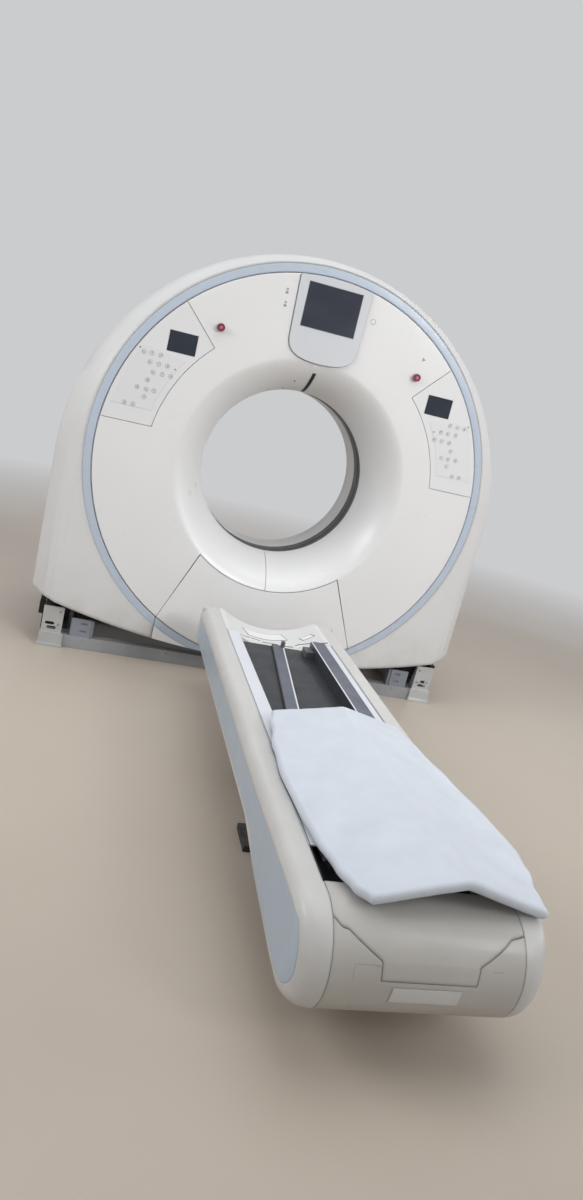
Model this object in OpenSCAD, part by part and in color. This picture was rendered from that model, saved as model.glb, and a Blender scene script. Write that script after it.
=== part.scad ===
// Whole-body CT scanner: a round tilting gantry on its floor stand and a low patient couch in front of it.
// Millimetres, +Z up, +Y runs from the couch into the bore, X across.
// The origin lies on the floor, straight under the point that the scanner images.
// Most skilful feature: the staged lift and the cover sweep, where every cover edge is set out
// from the tilt axis so that the whole shell can lean over the fixed stand and the floor frame.

/* [Gantry] */
// height of the bore axis and the tilt axis above the floor
iso_z = 1005; // [950:1:1060]
// radius of the patient bore
bore_r = 400; // [340:1:410]
// distance from the tilt axis to the front face
front_d = 284; // [275:1:300]
// distance from the tilt axis to the rear face
rear_d = 556; // [480:1:580]
// half width of the flat front face
face_half = 958; // [952:1:970]
// half width of the widest part of the covers
shell_half = 1072; // [1066:1:1100]
// inner radius of the blue trim ring
ring_in = 913; // [905:1:915]
// outer radius of the blue trim ring
ring_out = 950; // [940:1:952]
// how far the widest outline's centre lies below the bore axis
shell_drop = 80; // [60:1:90]
// height of the cover edge above the floor at the middle
edge_z = 91; // [85:1:110]
// radius of the long curve of the cover edge
edge_r = 3528; // [3000:1:4200]
// thickness of the moulded covers
cover_t = 8; // [6:0.5:10]
// width of the joints between the cover panels
seam = 2.4; // [1.6:0.2:4]
// half width of the black scan window band
window_half = 56; // [40:1:60]

/* [Rotor] */
// outer radius of the rotating drum
drum_r = 790; // [760:1:795]
// outer radius of the tilting frame plate
frame_r = 830; // [815:1:840]
// radius of the tilt pins
pin_r = 45; // [35:1:55]

/* [Floor stand] */
// half length of the floor frame's front beam
beam_half = 1006; // [980:1:1030]
// height of the front beam
beam_h = 61; // [50:1:62]
// depth of the front beam
beam_d = 50; // [40:1:52]

/* [Couch] */
// half width of the couch over its side covers
couch_half = 312; // [290:1:340]
// height of the side covers' top at the lowest setting
couch_top = 390; // [370:1:420]
// height of the dark deck plates at the lowest setting
deck_z = 345; // [335:1:352]
// y of the couch's head end
head_y = -486; // [-520:1:-484]
// y of the couch's foot end
foot_y = -2731; // [-2900:1:-2600]
// how far the rounded nose of the foot end reaches back
nose_len = 131; // [110:1:150]
// radius that rounds the foot end into the sides
foot_r = 72; // [50:1:74]
// height of the foot end's belly above the floor
belly_z = 114; // [108:1:130]
// stroke of each of the three lift stages
stage_stroke = 180; // [120:1:185]

/* [Foam mat] */
// length of the foam mat
mat_len = 985; // [900:1:1050]
// thickness of the foam
mat_t = 30; // [20:1:40]
// rise of the fold along the middle
mat_rise = 68; // [40:1:80]
// half width of the folded mat at its widest
mat_half = 288; // [240:1:300]
// turn of the mat on the couch in degrees
mat_turn = 2.8; // [0:0.1:3.5]

/* [View] */
// node to draw

/* [Hidden] */
$fn = 120;
clr = 0.3;
run = 0.05;
face_y = -front_d;
disc_y = face_y - 6;
lip_y = face_y + 16;
mid_y = 16;
shell_zc = iso_z - shell_drop;
shell_r = shell_half;
funnel_r = bore_r + 150;
disc_e = ring_in - 2.5;
body_w = couch_half - 6;
bottom_z = 240;
nose_y = foot_y + nose_len;
nose_z = couch_top - 135;
belly_y = -2040;
strip_z = couch_top - 2;
deck_t = 8;
deck_head = head_y - 290;
deck_foot = foot_y + 171;
strip_foot = deck_foot + 150;
end_x = couch_half - foot_r - 5;
col_y = -1700;
col_hx = 175;
col_hy = 290;
wall = 10;
stage_h = 280;
rail_top = 396;
carr_y0 = deck_foot + 90;
carr_len = 620;
stand_x1 = shell_half - 72;
stand_x0 = stand_x1 - 120;
cheek_x = stand_x0 - 80;
belt_a = -52;
belt_d = drum_r + 108;
pulley_r = 46;

function arc(r, a0, a1, n) = [for (i = [0:n]) let(a = a0 + (a1 - a0) * i / n) [r * cos(a), r * sin(a)]];
function rev(v) = [for (i = [len(v) - 1:-1:0]) v[i]];
function flip(v) = [for (i = [len(v) - 1:-1:0]) [-v[i][0], v[i][1]]];
function bez(p, t) = pow(1 - t, 3) * p[0] + 3 * t * pow(1 - t, 2) * p[1] + 3 * t * t * (1 - t) * p[2] + pow(t, 3) * p[3];
function curve(p, n) = [for (i = [0:n]) bez(p, i / n)];
function edge_at(x) = edge_z + edge_r - sqrt(edge_r * edge_r - x * x);

// box between two corners
module bx(x0, x1, y0, y1, z0, z1) { translate([x0, y0, z0]) cube([x1 - x0, y1 - y0, z1 - z0]); }
// cylinder along Y about the bore axis
module ycyl(r, y0, y1) { translate([0, y0, iso_z]) rotate([-90, 0, 0]) cylinder(r = r, h = y1 - y0); }
// cylinder along Y through any point
module ybar(x, z, r, y0, y1) { translate([x, y0, z]) rotate([-90, 0, 0]) cylinder(r = r, h = y1 - y0); }
// cylinder along X through any point
module xbar(y, z, r, x0, x1) { translate([x0, y, z]) rotate([0, 90, 0]) cylinder(r = r, h = x1 - x0); }
// outline drawn about the bore axis, pushed along Y
module slab(y0, y1) { translate([0, y1, iso_z]) rotate([90, 0, 0]) linear_extrude(y1 - y0) children(); }
// side outline (first value Y, second Z), pushed along X
module side(x0, x1) { translate([x0, 0, 0]) rotate([90, 0, 90]) linear_extrude(x1 - x0) children(); }
// end outline (first value X, second Z), pushed along Y
module profile(y0, y1) { translate([0, y1, 0]) rotate([90, 0, 0]) linear_extrude(y1 - y0) children(); }
// profile of radius and Y, turned about the bore axis
module turn() { translate([0, 0, iso_z]) rotate([-90, 0, 0]) rotate_extrude() children(); }

// gantry covers

// one outline of the shell as a thin slice
module shell_slice(r, zc, y0, y1) {
    translate([0, y0, zc]) rotate([-90, 0, 0]) cylinder(r = r, h = y1 - y0, $fn = 96);
    bx(-r, r, y0, y1, 60, zc);
}
module shell_solid(y_face, y_mid, t) {
    d = y_mid > y_face ? 1 : -1;
    w = shell_half - face_half;
    hull() {
        shell_slice(face_half - t, iso_z, min(y_face + d * t, y_face + d * (t + 1)), max(y_face + d * t, y_face + d * (t + 1)));
        shell_slice(face_half + 0.56 * w - t, iso_z - 0.56 * shell_drop,
            min(y_face + d * 36, y_face + d * 37), max(y_face + d * 36, y_face + d * 37));
        shell_slice(shell_half - t, shell_zc, min(y_face + d * 100, y_mid), max(y_face + d * 100, y_mid));
    }
}
// everything below the long curve of the cover edge
module below_edge() {
    difference() {
        bx(-shell_half - 60, shell_half + 60, face_y - 30, rear_d + 30, -shell_half, edge_at(shell_half + 40));
        translate([0, face_y - 60, edge_z + edge_r]) rotate([-90, 0, 0]) cylinder(r = edge_r, h = rear_d - face_y + 120, $fn = 240);
    }
    side(-shell_half - 60, shell_half + 60) polygon([[40, -shell_half], [40, 96], [rear_d + 40, 262], [rear_d + 40, -shell_half]]);
}
// outline of the removable panel under the bore, grown by g
module service_shape(g) {
    a = -acos((343 + g) / (funnel_r - g));
    polygon(concat(arc(funnel_r - g, a, -180 - a, 24), [[-489 - g, -771], [-489 - g, -960],
        [489 + g, -960], [489 + g, -771]]));
}
// outline of a control panel on the right, grown by g, out to radius ro
module control_shape(g, ro) {
    d = 57.3 * g / ro;
    polygon(concat(arc(686 - g, 46.4 + 57.3 * g / 686, asin((103 - g) / (686 - g)), 12),
        arc(ro, asin((103 - g) / ro), 46.4 + d, 24)));
}
// outline of the monitor bezel, grown by g
module bezel_shape(g) {
    low = [for (t = [0:0.1:1]) bez([[0, 537 - g], [70, 537 - g], [158 + g, 545], [162 + g, 625]], t)];
    polygon(concat([[172 + g, 935], [-172 - g, 935]], flip(low), [for (i = [1:len(low) - 1]) low[i]]));
}
// section of the front disc and funnel
module disc_section() {
    inner = curve([[bore_r, -window_half], [bore_r, -window_half - 84], [funnel_r - 52, disc_y], [funnel_r + 6, disc_y]], 10);
    outer = curve([[bore_r + cover_t, -window_half], [bore_r + cover_t, -window_half - 78],
        [funnel_r - 44, disc_y + cover_t], [funnel_r + 6, disc_y + cover_t]], 10);
    e = disc_e;
    polygon(concat(inner, [[e - 6, disc_y], [e - 1.8, disc_y + 1.8], [e, disc_y + 6], [e, lip_y], [e - 8, lip_y],
        [e - 8, disc_y + cover_t]], rev(outer)));
}
// ledge that carries the discs and the trim ring, part of whatever lies around it
module ring_ledge() {
    turn() polygon([[ring_in - 14, lip_y], [ring_out + clr, lip_y], [ring_out + clr, face_y], [ring_out + 9, face_y],
        [ring_out + 9, lip_y + 6], [ring_in - 14, lip_y + 6]]);
}
module outer_cover() color([0.86, 0.85, 0.83]) difference() {
    union() {
        difference() {
            shell_solid(face_y, mid_y, 0);
            shell_solid(face_y, mid_y + 1, cover_t);
            ycyl(ring_out + 4, face_y - 1, face_y + cover_t + 1);
        }
        intersection() {
            ring_ledge();
            shell_solid(face_y, mid_y, 1);
        }
    }
    slab(face_y - 5, lip_y + 40) service_shape(seam / 2);
    below_edge();
}
module rear_cover() color([0.86, 0.85, 0.83]) difference() {
    shell_solid(rear_d, mid_y + 0.4, 0);
    shell_solid(rear_d, mid_y - 1, cover_t);
    ycyl(ring_in + clr, rear_d - 40, rear_d + 5);
    below_edge();
}
module front_cover() color([0.92, 0.92, 0.91]) {
    front_disc();
    for (x = [-418, 418]) bx(x - 24, x + 24, disc_y + cover_t, disc_y + cover_t + 6, iso_z - 640, iso_z - 570);
}
module front_disc() difference() {
    turn() disc_section();
    slab(disc_y - 20, lip_y + 9) service_shape(seam / 2);
    slab(disc_y - 5, disc_y + 5) control_shape(seam / 2, ring_in + 20);
    slab(disc_y - 5, disc_y + 5) mirror([1, 0]) control_shape(seam / 2, ring_in + 20);
    slab(disc_y - 5, disc_y + 5) bezel_shape(seam / 2);
    bx(-8 - clr, 8 + clr, face_y + 30, -window_half - 2, iso_z + bore_r + 2, iso_z + 497 + clr);
    bx(-0.9, 0.9, disc_y - 1, -window_half + 1, iso_z - funnel_r - 4, iso_z - bore_r + 4);
    ybar(-70, iso_z + 442, 3.5, face_y, -60);
    ybar(-100, iso_z + 398, 3, face_y, -60);
    for (s = [-1, 1]) ybar(s * 466, iso_z + 588, 9 + clr, disc_y - 5, disc_y + 20);
}
module service_panel() color([0.9, 0.9, 0.89]) difference() {
    intersection() {
        turn() polygon([[540, disc_y], [disc_e - 6, disc_y], [disc_e - 1.8, disc_y + 1.8], [disc_e, disc_y + 6], [disc_e, lip_y],
            [ring_out + clr, lip_y], [ring_out + clr, face_y], [1200, face_y], [1200, face_y + cover_t],
            [ring_out + 9, face_y + cover_t], [ring_out + 9, lip_y + 6], [disc_e - 12, lip_y + 6],
            [disc_e - 12, disc_y + cover_t], [540, disc_y + cover_t]]);
        slab(face_y - 8, lip_y + 7) service_shape(-seam / 2);
    }
    below_edge();
}
// the cut at the foot of the trim ring, where the panel takes a piece of it away
module ring_split(g) { bx(-489 - g, 489 + g, face_y - 20, lip_y + 5, 40, iso_z - 700); }
module ring_section() {
    polygon([[ring_in, face_y + 3], [ring_in + 4, face_y - 1], [ring_out - 5, face_y - 1], [ring_out, face_y + 1.5],
        [ring_out, lip_y], [ring_in, lip_y]]);
}
module trim_ring() color([0.66, 0.73, 0.82]) difference() {
    turn() ring_section();
    ring_split(seam / 2);
    below_edge();
}
module trim_ring_lower() color([0.66, 0.73, 0.82]) difference() {
    intersection() { turn() ring_section(); ring_split(-seam / 2); }
    below_edge();
}
module control_panel(s) {
    difference() {
        slab(disc_y, disc_y + 5) mirror([s > 0 ? 0 : 1, 0]) control_shape(-seam / 2, ring_in - 4);
        bx(s > 0 ? 551 : -677, s > 0 ? 677 : -551, disc_y - 1, disc_y + 2, iso_z + 439, iso_z + 529);
    }
}
module control_panels() color([0.9, 0.89, 0.88]) {
    control_panel(-1);
    control_panel(1);
}
module display(s) bx(s > 0 ? 552 : -676, s > 0 ? 676 : -552, disc_y - 0.5, disc_y + 2, iso_z + 440, iso_z + 528);
module displays() color([0.13, 0.15, 0.19]) {
    display(-1);
    display(1);
}
// membrane keypad: one thin sheet with a raised dome for each key
module keypad() {
    slab(disc_y - 0.8, disc_y) polygon(concat(arc(716, 35, 15.5, 8), [[690, 172], [872, 172], [853, 250], [801, 408],
        [795, 436], [680, 436], [675, 432]]));
    for (k = [[696, 414], [735, 414], [770, 413], [660, 375], [697, 375], [736, 375], [637, 335], [675, 335],
        [715, 335], [733, 298], [697, 258], [731, 258], [771, 260], [734, 224], [775, 183], [813, 183]])
        ybar(k[0], iso_z + k[1], 9.5, disc_y - 2, disc_y - 0.4);
    for (k = [[788, 431], [624, 372]]) ybar(k[0], iso_z + k[1] - 4, 4, disc_y - 1.6, disc_y);
}
module keypads() color([0.87, 0.86, 0.85]) {
    mirror([1, 0, 0]) keypad();
    keypad();
}
module monitor_bezel() color([0.8, 0.82, 0.84]) difference() {
    intersection() {
        slab(disc_y - 9, disc_y + 5) bezel_shape(-seam / 2);
        ycyl(ring_in - 5, disc_y - 10, disc_y + 6);
    }
    bx(-125, 125, disc_y - 10, disc_y - 4, iso_z + 682, iso_z + 873);
}
module monitor_screen() color([0.17, 0.18, 0.22]) bx(-124, 124, disc_y - 9.6, disc_y - 4, iso_z + 683, iso_z + 872);
module laser_window() color([0.14, 0.14, 0.15]) intersection() {
    turn() disc_section();
    bx(-8, 8, face_y + 30 + clr, -window_half - 2 - clr, iso_z + bore_r + 2 + clr, iso_z + 497);
}
module scan_window() color([0.06, 0.06, 0.07]) turn() polygon([[bore_r + 1.5, -window_half], [bore_r + 8, -window_half],
    [bore_r + 8, -window_half + 5], [bore_r + 4.5, -window_half + 5], [bore_r + 4.5, window_half - 5],
    [bore_r + 8, window_half - 5], [bore_r + 8, window_half], [bore_r + 1.5, window_half], [bore_r + 1.5, 4],
    [bore_r, 4], [bore_r, -4], [bore_r + 1.5, -4]]);
module rear_funnel() color([0.86, 0.85, 0.83]) difference() {
    turn() polygon([[bore_r, window_half], [bore_r + 8, window_half], [bore_r + 8, window_half + 150], [bore_r + 52, 320],
        [bore_r + 168, rear_d - cover_t], [ring_in - 12, rear_d - cover_t], [ring_in - 12, rear_d - cover_t - 6],
        [ring_in + 14, rear_d - cover_t - 6], [ring_in + 14, rear_d - cover_t], [ring_in, rear_d - cover_t],
        [ring_in, rear_d], [bore_r + 160, rear_d], [bore_r + 44, 320], [bore_r, window_half + 150]]);
    below_edge();
}
module stop_collars() color([0.75, 0.74, 0.73]) {
    stop_collar(-466);
    stop_collar(466);
}
module stop_collar(x) {
    difference() {
        union() {
            ybar(x, iso_z + 588, 19, disc_y - 4, disc_y);
            ybar(x, iso_z + 588, 9, disc_y - 4, disc_y + 26);
            ybar(x, iso_z + 588, 15, disc_y + cover_t, disc_y + 26);
        }
        ybar(x, iso_z + 588, 5.5, disc_y - 5, disc_y + 27);
    }
}
// mushroom button on its stem
module stop_button(x) {
    difference() {
        union() {
            ybar(x, iso_z + 588, 16.5, disc_y - 22, disc_y - 12);
            ybar(x, iso_z + 588, 12, disc_y - 12, disc_y - 10.5);
            ybar(x, iso_z + 588, 5.45, disc_y - 11, disc_y + 20);
        }
        ybar(x, iso_z + 588, 8, disc_y - 23, disc_y - 20.5);
    }
}
module left_stop_button() color([0.55, 0.16, 0.22]) stop_button(-466);
module right_stop_button() color([0.55, 0.16, 0.22]) stop_button(466);

// tilting frame and what it carries
module tilt_frame() color([0.5, 0.52, 0.55]) {
    frame_plate();
    cover_stays();
    motor_plate();
}
module frame_plate() difference() {
    union() {
        ycyl(frame_r, 150, 210);
        for (s = [-1, 1]) {
            bx(s > 0 ? cheek_x : -cheek_x - 60, s > 0 ? cheek_x + 60 : -cheek_x, -70, 210, iso_z - 110, iso_z + 110);
            bx(s > 0 ? 700 : -cheek_x - 60, s > 0 ? cheek_x + 60 : -700, 150, 210, iso_z - 170, iso_z + 170);
        }
        for (a = [45, 135, 225, 315]) translate([0, 0, iso_z]) rotate([0, a, 0]) bx(600, 780, 200, 240, -12, 12);
    }
    ycyl(505, 149, 211);
    translate([belt_d * cos(belt_a), 149, iso_z + belt_d * sin(belt_a)]) rotate([-90, 0, 0]) cylinder(r = 40, h = 62);
    for (a = [30:60:330]) translate([0, 0, iso_z]) rotate([0, a, 0]) translate([690, 149, 0]) rotate([-90, 0, 0]) cylinder(r = 55, h = 62);
}
module tilt_pin(s, tip) {
    x0 = s > 0 ? cheek_x + 60 : -cheek_x - 75;
    xbar(0, iso_z, 88, x0, x0 + 15);
    if (s > 0) { xbar(0, iso_z, pin_r, cheek_x + 74, stand_x1 - 8); xbar(0, iso_z, 18, stand_x1 - 9, stand_x1 + tip); }
    else xbar(0, iso_z, pin_r, -stand_x1 + 8, -cheek_x - 74);
    for (a = [0:60:300]) translate([s > 0 ? x0 + 14 : x0 + 1, 70 * cos(a), iso_z + 70 * sin(a)]) rotate([0, s * 90, 0])
        cylinder(r = 6, h = 5);
}
module tilt_pins() color([0.62, 0.63, 0.65]) {
    tilt_pin(-1, 0);
    tilt_pin(1, 40);
}
module bearing_outer() color([0.6, 0.61, 0.63]) turn() polygon([[520, 104], [572, 104], [572, 150], [520, 150]]);
module cover_stays() difference() {
    union() {
        for (x = [-330, 290]) intersection() {
            bx(x, x + 40, 165, 205, iso_z + frame_r - 180, iso_z + shell_half);
            translate([0, 164, shell_zc]) rotate([-90, 0, 0]) cylinder(r = shell_half - cover_t - 0.8, h = 42);
        }
        for (s = [-1, 1]) intersection() {
            bx(s > 0 ? frame_r - 190 : -shell_half, s > 0 ? shell_half : 190 - frame_r, 165, 205, iso_z + 300, iso_z + 340);
            translate([0, 164, shell_zc]) rotate([-90, 0, 0]) cylinder(r = shell_half - cover_t - 0.8, h = 42);
        }
    }
    ycyl(frame_r - 4, 140, 211);
}
module brush_block() color([0.25, 0.26, 0.28]) {
    translate([0, 0, iso_z]) rotate([0, -60, 0]) {
        bx(495 + clr, 530, 222, 286, -60, 60);
        bx(528, 620, 210, 292, -75, 75);
    }
}
module motor_plate() difference() {
    translate([0, 0, iso_z]) rotate([0, -belt_a, 0]) bx(frame_r - 60, belt_d + 85, 209, 222, -95, 95);
    translate([0, 0, iso_z]) rotate([0, -belt_a, 0]) translate([belt_d, 200, 0]) rotate([-90, 0, 0]) cylinder(r = 40, h = 24);
    ycyl(frame_r - 50, 200, 223);
}
module drive_motor() color([0.2, 0.21, 0.23]) translate([belt_d * cos(belt_a), 0, iso_z + belt_d * sin(belt_a)]) {
    difference() {
        union() {
            translate([0, 222, 0]) rotate([-90, 0, 0]) cylinder(r = 75, h = 180);
            translate([0, 206, 0]) rotate([-90, 0, 0]) cylinder(r = 39.9, h = 20);
            bx(-45, 45, 250, 330, 60, 100);
        }
        translate([0, 190, 0]) rotate([-90, 0, 0]) cylinder(r = 14 + run, h = 70);
    }
}
module drive_pulley() color([0.6, 0.6, 0.62]) translate([belt_d * cos(belt_a), 0, iso_z + belt_d * sin(belt_a)]) {
    translate([0, 62, 0]) rotate([-90, 0, 0]) cylinder(r = pulley_r, h = 36);
    translate([0, 60, 0]) rotate([-90, 0, 0]) cylinder(r = pulley_r + 6, h = 3);
    translate([0, 97, 0]) rotate([-90, 0, 0]) cylinder(r = pulley_r + 6, h = 3);
    translate([0, 97, 0]) rotate([-90, 0, 0]) cylinder(r = 14, h = 158);
}
// outline of a flat belt round the drum and the pulley
function belt_pts(g) = let(R = drum_r + g, r = pulley_r + g, p = acos((R - r) / belt_d))
    concat([for (i = [0:72]) let(a = p + (360 - 2 * p) * i / 72) [R * cos(a), R * sin(a)]],
    [for (i = [0:16]) let(a = -p + 2 * p * i / 16) [belt_d + r * cos(a), r * sin(a)]]);
module drive_belt() color([0.12, 0.12, 0.13]) slab(66, 94) rotate(belt_a) difference() {
    polygon(belt_pts(4.5));
    polygon(belt_pts(0.6));
}

// rotor
module rotor_drum() color([0.68, 0.7, 0.72]) difference() {
    turn() polygon([[430, 60], [drum_r - 14, 60], [drum_r - 14, -150], [drum_r, -150], [drum_r, 100], [430, 100]]);
    for (a = [20, 160, 215, 325]) translate([0, 0, iso_z]) rotate([0, a, 0]) translate([640, 59, 0]) rotate([-90, 0, 0])
        cylinder(r = 60, h = 42);
}
module bearing_inner() color([0.6, 0.61, 0.63]) turn() polygon([[470, 100], [520 - run, 100], [520 - run, 150], [470, 150]]);
module slip_ring() color([0.72, 0.5, 0.3]) turn() polygon([[458, 150], [490, 150], [490, 220], [495, 220], [495, 232], [490, 232],
    [490, 244], [495, 244], [495, 256], [490, 256], [490, 268], [495, 268], [495, 280], [490, 280], [490, 290], [458, 290]]);
module tube_housing() color([0.75, 0.76, 0.78]) difference() {
    union() {
        ybar(0, iso_z + 655, 105, -120, 52);
        bx(-120, 120, 30, 60, iso_z + 560, iso_z + 750);
        ybar(0, iso_z + 655, 80, -146, -119);
        for (x = [-52, 52]) ybar(x, iso_z + 705, 16, -152, -119);
    }
    bx(-60, 60, -40, 25, iso_z + 540, iso_z + 558);
}
module collimator() color([0.45, 0.46, 0.48]) difference() {
    bx(-150, 150, -60, 60, iso_z + 470, iso_z + 549);
    bx(-110, 110, -12, 12, iso_z + 460, iso_z + 560);
}
module detector_arc() color([0.3, 0.31, 0.34]) difference() {
    union() {
        for (x = [-190, 30]) bx(x, x + 160, -100, 60, iso_z - 690, iso_z - 545);
        intersection() {
        translate([0, -60, iso_z + 600]) rotate([-90, 0, 0]) difference() {
            cylinder(r = 1150, h = 120);
            translate([0, 0, -1]) cylinder(r = 1090, h = 122);
        }
        bx(-500, 500, -61, 61, iso_z - 620, iso_z - 300);
        }
    }
    for (x = [-340:85:340]) bx(x - 1, x + 1, -101, -59, iso_z - 700, iso_z - 300);
}
module voltage_generator() color([0.55, 0.56, 0.58]) {
    bx(540, 730, -135, 60, iso_z - 150, iso_z + 130);
    for (z = [-120:40:100]) bx(729, 742, -120, 40, iso_z + z, iso_z + z + 10);
}
module oil_cooler() color([0.6, 0.61, 0.63]) {
    for (z = [-70, 70]) difference() {
        ybar(-640, iso_z + z, 60, -146, -119);
        ybar(-640, iso_z + z, 52, -147, -128);
    }
    bx(-720, -560, -120, 60, iso_z - 140, iso_z + 140);
    for (z = [-130:20:120]) bx(-728, -719, -110, 50, iso_z + z, iso_z + z + 8);
}
module inverter_box() color([0.5, 0.51, 0.53]) translate([0, 0, iso_z]) rotate([0, -38, 0]) bx(540, 730, -120, 60, -110, 110);
module counterweight() color([0.4, 0.4, 0.42]) translate([0, 0, iso_z]) rotate([0, 222, 0]) for (y = [-60, -20, 20])
    bx(560, 720, y, y + 40, -90 + y / 4, 90 - y / 4);

// floor stand
module floor_frame() color([0.6, 0.62, 0.62]) difference() {
    union() {
        difference() {
            bx(-beam_half, beam_half, -246, -246 + beam_d, 0, beam_h);
            bx(-beam_half - 1, beam_half + 1, -240, -246 + beam_d + 1, 6, beam_h - 6);
        }
        for (x = [-800:200:800]) bx(x - 4, x + 4, -241, -246 + beam_d, 5, beam_h - 5);
        bx(-stand_x1, stand_x1, 262, 322, 0, 40);
        for (s = [-1, 1]) bx(s > 0 ? stand_x0 - 20 : -stand_x1, s > 0 ? stand_x1 : -stand_x0 + 20, -247 + beam_d, 322, 0, 60);
    }
    for (x = [-stand_x0 - 60, stand_x0 + 60], y = [-120, 120]) translate([x, y, -1]) cylinder(r = 11, h = 80, $fn = 48);
}
// side outline of a stand, cut back in front where the leaning cover passes
module stand(s) {
    x0 = s > 0 ? stand_x0 : -stand_x1;
    x1 = s > 0 ? stand_x1 : -stand_x0;
    difference() {
        union() {
            side(x0, x1) polygon([[-70, 78], [-70, 128], [40, 150], [-8, 380], [-66, 640], [-112, iso_z - 60], [-112, iso_z],
                [112, iso_z], [112, iso_z - 60], [150, 700], [240, 150], [296, 110], [296, 78]]);
            xbar(0, iso_z, 112, x0, x1);
            bx(x0, x1, -160, 300, 60, 80);
        }
        xbar(0, iso_z, 72, x0 - 1, x1 + 1);
        side(s > 0 ? x0 + 24 : x0 - 1, s > 0 ? x1 + 1 : x1 - 24) polygon([[66, 170], [14, 400], [-40, 640], [-70, iso_z - 150],
            [70, iso_z - 150], [120, 690], [208, 170]]);
        for (y = [-120, 120]) translate([s * (stand_x0 + 60), y, 50]) cylinder(r = 11, h = 80, $fn = 48);
    }
}
module stands() color([0.3, 0.31, 0.33]) {
    stand(-1);
    stand(1);
}
module pin_bushing(s) difference() {
    xbar(0, iso_z, 72, s > 0 ? stand_x0 : -stand_x1, s > 0 ? stand_x1 : -stand_x0);
    xbar(0, iso_z, pin_r + run, s > 0 ? stand_x0 - 1 : -stand_x1 - 1, s > 0 ? stand_x1 + 1 : -stand_x0 + 1);
}
module pin_bushings() color([0.72, 0.6, 0.35]) {
    pin_bushing(-1);
    pin_bushing(1);
}
module side_plate(s) {
    bx(s > 0 ? stand_x1 : -stand_x1 - 6, s > 0 ? stand_x1 + 6 : -stand_x1, -160, -60, 12, 190);
    bx(s > 0 ? stand_x1 : -stand_x1 - 24, s > 0 ? stand_x1 + 24 : -stand_x1, -196, -60, 132, 190);
}
module side_plates() color([0.08, 0.08, 0.09]) {
    side_plate(-1);
    side_plate(1);
}
module corner_bracket(s) difference() {
    x0 = s > 0 ? beam_half - 100 : 6 - beam_half;
    x1 = s > 0 ? beam_half - 6 : 100 - beam_half;
    union() {
        bx(x0, x1, -246, -239, beam_h, 192);
        bx(x0, x1, -240, -190, beam_h, beam_h + 8);
        side(s > 0 ? x0 : x1 - 8, s > 0 ? x0 + 8 : x1) polygon([[-240, beam_h], [-240, 186], [-232, 186], [-190, beam_h + 8], [-190, beam_h]]);
    }
    for (z = [108, 87]) profile(-250, -230) translate([s * (z > 100 ? beam_half - 42 : beam_half - 52), z]) {
        square([28, 15], center = true);
        for (t = [-14, 14]) translate([t, 0]) circle(r = 7.5, $fn = 32);
    }
}
module corner_brackets() color([0.78, 0.79, 0.8]) {
    for (s = [-1, 1]) {
        corner_bracket(s);
        foot_block(s);
    }
}
module foot_block(s) {
    bx(s > 0 ? beam_half - 110 : -beam_half, s > 0 ? beam_half : 110 - beam_half, -258, -246, 12, 66);
    bx(s > 0 ? beam_half - 114 : -beam_half - 8, s > 0 ? beam_half + 8 : 114 - beam_half, -268, -246, 0, 12);
}
module slotted_plate(s) difference() {
    bx(s > 0 ? beam_half - 233 : 142 - beam_half, s > 0 ? beam_half - 142 : 233 - beam_half, -246, -240, beam_h, 150);
    for (z = [90, 128]) profile(-250, -230) translate([s * (beam_half - 200), z]) {
        square([22, 9], center = true);
        for (t = [-11, 11]) translate([t, 0]) circle(r = 4.5, $fn = 32);
    }
}
module skid_box(s) side(s > 0 ? beam_half - 246 : 138 - beam_half, s > 0 ? beam_half - 138 : 246 - beam_half)
    polygon([[-240, beam_h], [-240, 148], [-228, 148], [-196, 128], [-196, beam_h]]);
module inner_brackets() color([0.4, 0.41, 0.43]) for (s = [-1, 1]) {
    slotted_plate(s);
    skid_box(s);
}
module tilt_gearmotor() color([0.25, 0.27, 0.3]) difference() {
    union() {
        xbar(0, iso_z, 92, stand_x1, stand_x1 + 46);
        bx(stand_x1, stand_x1 + 46, 0, 120, iso_z - 45, iso_z + 45);
        ybar(stand_x1 + 23, iso_z, 22, 119, 250);
        ybar(stand_x1 + 23, iso_z, 18, 249, 285);
    }
    xbar(0, iso_z, 18 + run, stand_x1 - 1, stand_x1 + 47);
}

// couch on the floor
module floor_link() bx(-110, 110, col_y + 379, -246, 0, 16);
module couch_floor_plate() color([0.5, 0.52, 0.54]) {
    floor_link();
    base_plate();
}
module base_plate() difference() {
    union() {
        bx(-col_hx - 13, col_hx + 13, col_y - 620, col_y + 380, 0, 20);
        bx(-col_hx - 61, col_hx + 61, col_y - 150, col_y - 10, 0, 20);
    }
    for (x = [-160, 160], y = [col_y - 560, col_y + 320]) translate([x, y, -1]) cylinder(r = 8, h = 22, $fn = 32);
}
module sleeve(n, z0, z1) {
    g = n * (wall + clr);
    difference() {
        bx(-col_hx + g, col_hx - g, col_y - col_hy + g, col_y + col_hy - g, z0, z1);
        bx(-col_hx + g + wall, col_hx - g - wall, col_y - col_hy + g + wall, col_y + col_hy - g - wall, z0 - 1, z1 + 1);
    }
}
module lift_sleeve_fixed() color([0.62, 0.64, 0.66]) sleeve(0, 20, 20 + stage_h);
module lift_sleeve_lower() color([0.66, 0.68, 0.7]) sleeve(1, 24, 24 + stage_h);
module lift_sleeve_upper() color([0.7, 0.72, 0.74]) sleeve(2, 27, 27 + stage_h);
module lift_head() {
    sleeve(3, 30, 320);
    bx(-col_hx + 32, col_hx - 32, col_y - col_hy + 32, col_y + col_hy - 32, 318, 330);
}
module lift_pump_box() color([0.3, 0.32, 0.34]) {
    bx(-120, 120, col_y - 590, col_y - 330, 20, 150);
    ybar(0, 85, 40, col_y - 331, col_y - 300);
}

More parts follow.
